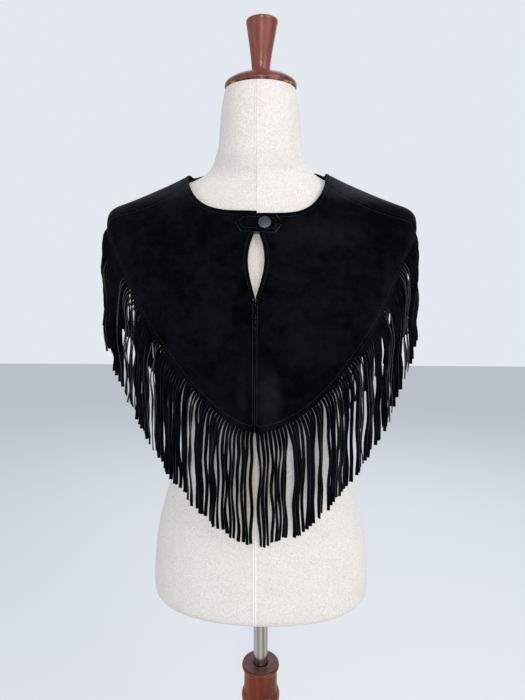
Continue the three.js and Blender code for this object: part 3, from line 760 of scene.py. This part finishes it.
# How the right front's corner at the neckline lifts where it laps over the left one
LAP = {"lift": 2.6, "along": 26, "down": 7, "way": (0, 0.3, 1)}


def lapped(points, grid):
    """The right front's points with that corner lifted, under the tab."""
    lift = LAP["lift"] * np.exp(-((points[..., 0] / LAP["along"]) ** 2) - grid["neck"] / LAP["down"])
    return points + lift[..., None] * np.array(LAP["way"])


faces_of = {}
panels = {}
for side, node in (("back", "back_panel"), ("left", "front_panel_left"), ("right", "front_panel_right")):
    outer, inner = on_cape(grids[side], panel_relief(side)), on_cape(grids[side], -SUEDE)
    if side == "right":
        outer, inner = lapped(outer, grids[side]), lapped(inner, grids[side])
    faces_of[side] = outer
    panels[side] = walled("suede_" + node, outer, inner, [suede])
    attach(panels[side], "form")
    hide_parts(node)

# The stitching is black thread in a single row of short machine stitches: along the neckline and the hem,
# round the keyhole, and down both sides of every seam.
STITCH = {"length": 2.5, "pitch": 3.25, "radius": 0.27, "sunk": 0.12, "dip": 0.22, "sides": 6}
STITCH_SECTIONS = np.array([-1, -0.82, -0.4, 0.4, 0.82, 1])
THREAD_TONES = ((0.018, 0.018, 0.021), (0.05, 0.05, 0.054))


def thread_looks(place):
    """Waxed black thread, with the twist of its strands."""
    twist = place.noise(1700, detail=1)
    colour = twist.between(0.3, 0.7).mix(*THREAD_TONES)
    return {"Base_Color": colour, "Normal": twist.relief(0.00008)}


thread = finished("black_thread", thread_looks, Roughness=0.5, Specular_IOR_Level=0.4)


def stitched(name, lines):
    """Rows of raised stitches along lines of points with their normals, all in one piece."""
    girth = STITCH["radius"] * np.sqrt(1 - np.abs(STITCH_SECTIONS) ** 4 * 0.97)
    height = -STITCH["sunk"] - STITCH["dip"] * STITCH_SECTIONS**2
    turn = np.arange(STITCH["sides"]) * 2 * pi / STITCH["sides"]
    points, faces = [], []
    for line, normals in lines:
        length = np.concatenate([[0], np.linalg.norm(np.diff(line, axis=0), axis=1).cumsum()])
        spots = np.arange(STITCH["pitch"] / 2, length[-1] - STITCH["pitch"] / 2, STITCH["pitch"])
        for spot in spots:
            ends = [spot - STITCH["length"] / 2, spot, spot + STITCH["length"] / 2]
            back, middle, ahead = [
                np.array([np.interp(end, length, line[:, k]) for k in range(3)]) for end in ends]
            normal = unit(np.array([np.interp(spot, length, normals[:, k]) for k in range(3)]))
            heading = unit(ahead - back)
            across = unit(np.cross(normal, heading))
            start = len(points)
            for a, g, h in zip(STITCH_SECTIONS, girth, height):
                centre = middle + heading * a * STITCH["length"] / 2 + normal * h
                points.extend(centre + g * (across * np.cos(t) + normal * np.sin(t)) for t in turn)
            end = start + (len(STITCH_SECTIONS) - 1) * STITCH["sides"]
            faces.extend(grid_faces(len(STITCH_SECTIONS), STITCH["sides"], closed=True, start=start))
            faces.append([start + k for k in range(STITCH["sides"])][::-1])
            faces.append([end + k for k in range(STITCH["sides"])])
    return mesh_piece(name, np.array(points) * MM, faces, [thread], crease=70)


def stitch_lines(side):
    """The lines of a panel's stitching, taken from its own outer face."""
    grid, face = grids[side], faces_of[side]
    normals, _, _ = cape_frame(grid["angle"], grid["share"])
    neck_row = int(np.argmin(np.abs(NECK_LINES - NECK_STITCH)))
    hem_row = face.shape[0] - 1 - int(np.argmin(np.abs(HEM_LINES - HEM_STITCH)))
    seam_step = int(np.argmin(np.abs(SIDE_LINES - SEAM_STITCH)))
    slit_step = int(np.argmin(np.abs(SIDE_LINES - SLIT_STITCH)))
    last = face.shape[1] - 1
    lines = [(slice(neck_row, neck_row + 1), slice(seam_step, last - seam_step + 1))]
    lines.append((slice(hem_row, hem_row + 1), slice(seam_step, last - seam_step + 1)))
    heights = cape_at(np.zeros(face.shape[0]), grid["share"][:, 0 if side != "right" else last])[:, 2]
    slit_end = int(np.argmin(np.abs(heights - KEYHOLE["bottom"])))
    rows = slice(neck_row, hem_row + 1)
    if side == "back":
        lines += [(rows, slice(c, c + 1)) for c in (seam_step, last - seam_step)]
    else:
        shoulder, seam, slit = last - seam_step, seam_step, slit_step
        if side == "right":
            shoulder, seam, slit = seam_step, last - seam_step, last - slit_step
        lines.append((rows, slice(shoulder, shoulder + 1)))
        lines.append((slice(slit_end, hem_row + 1), slice(seam, seam + 1)))
        lines.append((slice(neck_row, slit_end + 1), slice(slit, slit + 1)))
    return [(face[r, c].reshape(-1, 3), normals[r, c].reshape(-1, 3)) for r, c in lines]


stitching = {}
for side in ("back", "left", "right"):
    stitching[side] = stitched("stitching_" + side, stitch_lines(side))
    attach(stitching[side], "form")

# The fringe is cut from strips of the same suede, sewn under the hem from shoulder seam to centre. Each
# strand leaves square to the hem, curls over and hangs, and the strands cling together in uneven locks.
FRINGE = {
    "thickness": 1.3, "width": 4.95, "widths": (0.84, 1.02), "pitch": 4.9, "length": 146, "uneven": 4.5,
    "bend": 12.5, "bends": (0.65, 1.4), "free_by": 38, "stands_off": 1.2, "flare": {"left": 3, "right": 7.5},
}
# How a lock gathers, over which lengths of its strands, and how far it opens again
GATHER = {"cling": (0.08, 0.42), "from": 6, "over": 48, "opens": 0.35, "opens_from": 95, "opens_over": 55}
# Waves down a lock and down a strand of its own: height, shortest and longest
LOCK_WAVES = {"sideways": (1.3, 60, 120), "outward": (2.2, 60, 130), "turning": (0.25, 60, 140)}
OWN_WAVES = {"sideways": (0.9, 42, 95), "outward": (0.9, 35, 80), "turning": (0.2, 50, 120)}
# How strands stand edge-on: the least and most in radians, and where they curl most
EDGE_ON = {"least": 0.22, "most": 0.85, "curled": 1.3, "curls_at": 14, "curls_over": 10, "turned_by": 7}
# How far strands lie in front of or behind each other, and the share of the locks that turn the same way
LAYERS = 1.6
TURNED_ALIKE = 0.72
# Lengths down a strand at which it has a section, from under the header to its end, and the section's corners
STATIONS = np.array([
    -9, -4, -1, 1, 2.5, 4, 6, 8, 10.5, 13.5, 17, 22, 28, 35, 43, 52, 61, 70, 79, 88, 97, 106, 115, 124, 132,
    139, 146.5,
])
SECTION = np.array([
    (1, 0.55), (0.86, 1), (-0.86, 1), (-1, 0.55), (-1, -0.55), (-0.86, -1), (0.86, -1), (1, -0.55),
])
LOCK_SIZES = [1, 1, 2, 2, 3, 3, 4, 5]
CUT_EDGE_TONES = ((0.009, 0.0095, 0.011), (0.065, 0.066, 0.07))
draw = np.random.default_rng(41)


def cut_edge_looks(place):
    """The raw edge of the cut suede, greyer than its face, with loose fibres."""
    fibres = place.noise(1900, detail=2, roughness=0.6)
    colour = fibres.between(0.3, 0.7).mix(*CUT_EDGE_TONES)
    return {"Base_Color": colour, "Normal": fibres.relief(0.0002)}


cut_edge = finished("cut_suede_edge", cut_edge_looks, Roughness=0.8, Specular_IOR_Level=0.08)


def locks(count):
    """Which lock each strand belongs to."""
    member = []
    while len(member) < count:
        member += [member[-1] + 1 if member else 0] * int(draw.choice(LOCK_SIZES))
    return np.array(member[:count])


def strand_courses(first_angle, last_angle):
    """The strands of one fringe: their sections' centres, and the directions across and through them."""
    hem = np.linspace(first_angle, last_angle, 900)
    edge = cape_at(hem, np.ones(len(hem)))
    length = np.concatenate([[0], np.linalg.norm(np.diff(edge, axis=0), axis=1).cumsum()])
    count = int(round((length[-1] - FRINGE["width"] * 1.4) / FRINGE["pitch"])) + 1
    spots = np.linspace(FRINGE["width"] * 0.7, length[-1] - FRINGE["width"] * 0.7, count)
    pitch = spots[1] - spots[0]
    angle = np.interp(spots, length, hem)
    share = np.ones(count)
    normal, _, down = cape_frame(angle, share)
    step = 1e-3
    turned_way = np.sign(last_angle - first_angle)
    along = unit(cape_at(angle + step, share) - cape_at(angle - step, share)) * turned_way
    out = unit(np.cross(along, normal))
    hand = np.sign((out * down).sum(-1))
    out *= hand[:, None]
    depth = drape(angle, share) - SUEDE - SEAM_GAP - FRINGE["thickness"] / 2
    root = cape_at(angle, share) + normal * depth[:, None]
    level = along * np.array([1, 1, 0])
    spread = np.linalg.norm(level, axis=1)[:, None]
    level = unit(level)
    facing = unit(normal * np.array([1, 1, 0]))

    lock = locks(count)
    members = lock.max() + 1
    middle = np.array([spots[lock == g].mean() for g in range(members)])[lock]
    cling = draw.uniform(*GATHER["cling"], members)[lock][:, None]
    layer = draw.uniform(-LAYERS, LAYERS, count)[:, None]

    def wave(size, shortest, longest, picks, which):
        """A wave down each strand, from as many picks and by which of them is whose."""
        height = draw.uniform(0.4, 1, picks)[which][:, None] * size
        span = draw.uniform(shortest, longest, picks)[which][:, None]
        phase = draw.uniform(0, 2 * pi, picks)[which][:, None]
        return height * np.sin(2 * pi * run / span + phase) - height * np.sin(phase)

    def waves(way):
        """The wave that a lock shares and the strand's own."""
        return wave(*LOCK_WAVES[way], members, lock) + wave(*OWN_WAVES[way], count, np.arange(count))

    uneven = draw.uniform(-1, 1, members)[lock] * 0.6 + draw.uniform(-1, 1, count) * 0.5
    reach = FRINGE["length"] + uneven * FRINGE["uneven"]
    run = STATIONS[None, :] * np.where(STATIONS > 30, (reach / FRINGE["length"])[:, None], 1)
    past = np.maximum(run, 0)
    bend = FRINGE["bend"] * draw.uniform(*FRINGE["bends"], count)[:, None]
    over = bend * (1 - np.exp(-past / bend))
    free = soft_step(past / FRINGE["free_by"])
    opened = GATHER["opens"] * soft_step((past - GATHER["opens_from"]) / GATHER["opens_over"])
    gather = cling * soft_step((past - GATHER["from"]) / GATHER["over"]) * (1 - opened)
    sideways = (middle - spots)[:, None] * spread * gather
    sway = 0.35 + 0.65 * spread**2
    sideways = sideways + free * sway * waves("sideways")
    flare = np.where(np.sin(angle) > 0, FRINGE["flare"]["left"], FRINGE["flare"]["right"])
    flare = (flare * np.sin(angle) ** 6)[:, None] * soft_step(past / 16)
    outward = free * (waves("outward") + FRINGE["stands_off"] + layer) + flare
    centre = root[:, None] + out[:, None] * (np.minimum(run, 0) + over)[..., None]
    centre[..., 2] += over - past
    centre = centre + level[:, None] * sideways[..., None] + facing[:, None] * outward[..., None]

    room = pitch * spread * (1 - gather)
    edge_on = np.arcsin(np.clip(1.1 * FRINGE["thickness"] / room, EDGE_ON["least"], EDGE_ON["most"]))
    edge_on = edge_on + free * waves("turning")
    square = np.cross([0, 0, 1], level)
    lean = np.where(draw.uniform(0, 1, members) < TURNED_ALIKE, 1, -1)[lock][:, None]
    width = (FRINGE["width"] * draw.uniform(*FRINGE["widths"], count))[:, None, None]
    curled = np.exp(-(((past - EDGE_ON["curls_at"]) / EDGE_ON["curls_over"]) ** 2))
    curled = curled * draw.uniform(0.2, 1, members)[lock][:, None]
    edge_on = edge_on + (EDGE_ON["curled"] - edge_on) * curled * (1 - 0.6 * spread**2)
    swing = (lean * np.sign(level[:, :1] * square[:, :1]) * edge_on)[..., None]
    hung = level[:, None] * np.cos(swing) + square[:, None] * np.sin(swing)
    turning = (1 - np.exp(-past / EDGE_ON["turned_by"]))[..., None]
    across = along[:, None] * (1 - turning) + hung * turning
    heading = unit(np.gradient(centre, axis=1))
    across = unit(across - heading * (across * heading).sum(-1, keepdims=True))
    through_it = np.cross(heading, across)
    return centre, across * width / 2, through_it * FRINGE["thickness"] / 2


def fringe_piece(name, first_angle, last_angle):
    """One fringe's strands, cut from the strip under the hem, as one mesh."""
    centre, across, through_it = strand_courses(first_angle, last_angle)
    ring = len(SECTION)
    per_strand = centre.shape[1] * ring
    points = (centre[:, :, None] + across[:, :, None] * SECTION[:, 0, None]
              + through_it[:, :, None] * SECTION[:, 1, None]).reshape(-1, 3)
    faces = []
    raw = []
    for s in range(centre.shape[0]):
        start = s * per_strand
        strand = grid_faces(centre.shape[1], ring, closed=True, start=start)
        faces += strand
        raw += [1 if f % ring in (3, 7) else 0 for f in range(len(strand))]
        faces.append([start + k for k in range(ring)][::-1])
        faces.append([start + per_strand - ring + k for k in range(ring)])
        raw += [0, 1]
    fringe = mesh_piece(name, points * MM, faces, [suede, cut_edge], crease=38)
    fringe.data.polygons.foreach_set("material_index", raw)
    return fringe


def header_strip(name, side, columns):
    """The strip that a fringe is cut from, under the hem of its panel."""
    rows = slice(-len(HEM_LINES) + 1, None)
    strip = {key: values[rows, columns] for key, values in grids[side].items()}
    under = -SUEDE - SEAM_GAP
    top = on_cape(strip, np.full(strip["angle"].shape, under))
    bottom = on_cape(strip, np.full(strip["angle"].shape, under - FRINGE["thickness"]))
    return walled(name, top, bottom, [suede])


half_back = grids["back"]["angle"].shape[1] // 2
FRINGES = {
    "front_left": ("left", 0.0, SHOULDER_SEAM["hem"], slice(None)),
    "front_right": ("right", 2 * pi, 2 * pi - SHOULDER_SEAM["hem"], slice(None)),
    "back_left": ("back", SHOULDER_SEAM["hem"], pi, slice(0, half_back)),
    "back_right": ("back", 2 * pi - SHOULDER_SEAM["hem"], pi, slice(half_back, None)),
}
fringes = {}
for where, (side, first_angle, last_angle, columns) in FRINGES.items():
    strands = fringe_piece("fringe_strands_" + where, first_angle, last_angle)
    strip = header_strip("fringe_strip_" + where, side, columns)
    fringes[where] = [strands, strip]
    for piece in fringes[where]:
        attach(piece, "form")
    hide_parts("fringe_" + where)
CLOTH = {
    "left": {"flat": (0.25, 0.334), "area": 0.0452, "fringes": ["front_left"]},
    "right": {"flat": (0.25, 0.334), "area": 0.0452, "fringes": ["front_right"]},
    "back": {"flat": (0.56, 0.40), "area": 0.127, "fringes": ["back_left", "back_right"]},
}
for side, cloth in CLOTH.items():
    sewn_on = [piece for where in cloth["fringes"] for piece in fringes[where]] + [stitching[side]]

# The closure tab is a double strap of suede cut to a point at both ends. It is sewn to the right front by
# one end and snapped to the left one, over the top of the keyhole, whose foot has a bar tack.
TAB = {"x": 2, "z": 1128, "length": 61, "height": 24, "point": 8.5, "tilt": radians(-3), "thickness": 1.8}
TAB_STITCH = 4.6
TAB_COLUMNS, TAB_ROWS = 96, 40
# How far the tab's face swells, and the share of an edge's relief that it has
TAB_SWELL, TAB_RELIEF = 0.3, 0.7
RAW_EDGE_TONES = ((0.01, 0.01, 0.011), (0.16, 0.15, 0.14))
BAR_TACK = {"below": (0.6, 1.4, 2.2), "half_length": 4.2, "points": 12, "proud": 0.45}


def front_place(x, z):
    """The places on the fronts at a given width and height in millimetres."""
    low, high = np.zeros_like(x), np.full_like(x, 0.6)
    for _ in range(40):
        middle = (low + high) / 2
        above = cape_at(angle_at_width(x, middle), middle)[..., 2] > z
        low, high = np.where(above, middle, low), np.where(above, high, middle)
    return angle_at_width(x, low), low


def tab_points(along, across, distance):
    """Points over the tab's own plane, laid over the fronts at a distance in millimetres."""
    x = TAB["x"] + along * np.cos(TAB["tilt"]) - across * np.sin(TAB["tilt"])
    z = TAB["z"] + along * np.sin(TAB["tilt"]) + across * np.cos(TAB["tilt"])
    angle, share = front_place(x, z)
    normal, _, _ = cape_frame(angle, share)
    return cape_at(angle, share) + normal * np.asarray(distance)[..., None]


def tab_grid(inset):
    """Places of a tab cut smaller all round by an inset, with the distance of each from the tab's edge."""
    half, high, point = TAB["length"] / 2, TAB["height"] / 2, TAB["point"]
    slope = high / point
    ends = half - inset * np.sqrt(1 + slope**2) / slope
    corners = [-(half - point), half - point]
    along = np.unique(np.concatenate([np.linspace(-ends, ends, TAB_COLUMNS), corners]))
    top = np.minimum(high - inset, np.maximum((ends - np.abs(along)) * slope, 0.35))
    across = top[:, None] * np.linspace(-1, 1, TAB_ROWS)
    along = np.broadcast_to(along[:, None], across.shape)
    slanted = (half - np.abs(along) - np.abs(across) / slope) * slope / np.sqrt(1 + slope**2)
    return along, across, np.maximum(np.minimum(high - np.abs(across), slanted), 0)


def raw_edge_looks(place):
    """The tab's own raw edge at its points, rubbed grey."""
    fibres = place.noise(1300, detail=2, roughness=0.6)
    return {"Base_Color": fibres.between(0.35, 0.7).mix(*RAW_EDGE_TONES)}


along, across, to_edge = tab_grid(0)
tab_top = SEAM_GAP + TAB["thickness"]
tab_face = tab_points(along, across, tab_top + TAB_SWELL + stitched_edge(to_edge, TAB_STITCH) * TAB_RELIEF)
tab_back = tab_points(along, across, np.full(along.shape, SEAM_GAP))
raw_edge = finished("raw_tab_edge", raw_edge_looks, Roughness=0.8, Specular_IOR_Level=0.08)
tab = walled("suede_tab", tab_face, tab_back, [suede, cut_edge, raw_edge])
columns, rows = along.shape[0] - 1, along.shape[1] - 1
edges = np.full(len(tab.data.polygons), 1)
edges[:2 * columns * rows] = 0
pointed = np.abs(along[:-1, 0] + along[1:, 0]) / 2 > TAB["length"] / 2 - TAB["point"]
on_face = np.zeros((columns, rows), int)
on_face[pointed, 0] = 2
on_face[pointed & (along[:-1, 0] > 0), -1] = 2
edges[:columns * rows] = on_face.ravel()
tab.data.polygons.foreach_set("material_index", edges)
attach(tab, "form")
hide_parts("closure_tab")

stitch_along, stitch_across, _ = tab_grid(TAB_STITCH)
round_tab = [(stitch_along[:, -1], stitch_across[:, -1]), (stitch_along[::-1, 0], stitch_across[::-1, 0])]
tab_lines = []
for line_along, line_across in round_tab:
    line = tab_points(line_along, line_across, np.full(line_along.shape, tab_top + 0.05))
    raised = tab_points(line_along, line_across, np.full(line_along.shape, 10.0))
    tab_lines.append((line, unit(raised - line)))
tack = np.linspace(-BAR_TACK["half_length"], BAR_TACK["half_length"], BAR_TACK["points"])
for below in BAR_TACK["below"]:
    angle, share = front_place(tack, np.full(BAR_TACK["points"], KEYHOLE["bottom"] - below))
    normal, _, _ = cape_frame(angle, share)
    tab_lines.append((cape_at(angle, share) + normal * BAR_TACK["proud"], normal))
tab_stitching = stitched("stitching_tab", tab_lines)
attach(tab_stitching, "form")

# The press stud's cap is a shallow dome of dark lacquered metal with a rolled rim. It is clenched through
# the tab, a little to the left of the keyhole.
STUD_ALONG = 8.0
STUD = [
    (0, 0), (7.4, 0), (8.0, 0.25), (8.2, 0.75), (8.05, 1.25), (7.5, 1.65), (6.6, 1.95), (5, 2.25), (3, 2.48),
    (1.4, 2.58), (0, 2.6),
]
STUD_SIDES = 64
LACQUER_TONES = ((0.035, 0.04, 0.05), (0.075, 0.082, 0.096))


def gunmetal_looks(place):
    """Dark lacquer with a fine orange-peel and a few rubbed spots."""
    peel = place.noise(1500, detail=1)
    rubbed = place.noise(420, detail=3).between(0.52, 0.75)
    colour = (rubbed * 0.5).mix(*LACQUER_TONES)
    return {"Base_Color": colour, "Roughness": 0.36 + rubbed * 0.16, "Normal": peel.relief(0.00003)}


def over_stud(distance):
    """The point on the stud's axis at a distance from the fronts, in millimetres."""
    return tab_points(np.array([[STUD_ALONG]]), np.array([[0.0]]), np.array([[distance]]))[0, 0]


gunmetal = finished("gunmetal", gunmetal_looks, Metallic=0.55)
seat = over_stud(2 * SEAM_GAP + TAB["thickness"])
away = over_stud(12.0)
stud = turned_piece("snap_stud", STUD, STUD_SIDES, [gunmetal])
tipped = Vector((0, 0, 1)).rotation_difference(Vector(away - seat)).to_matrix().to_4x4()
tipped.translation = Vector(seat * MM)
stud.data.transform(tipped)
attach(stud, "form")
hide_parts("snap_cap")
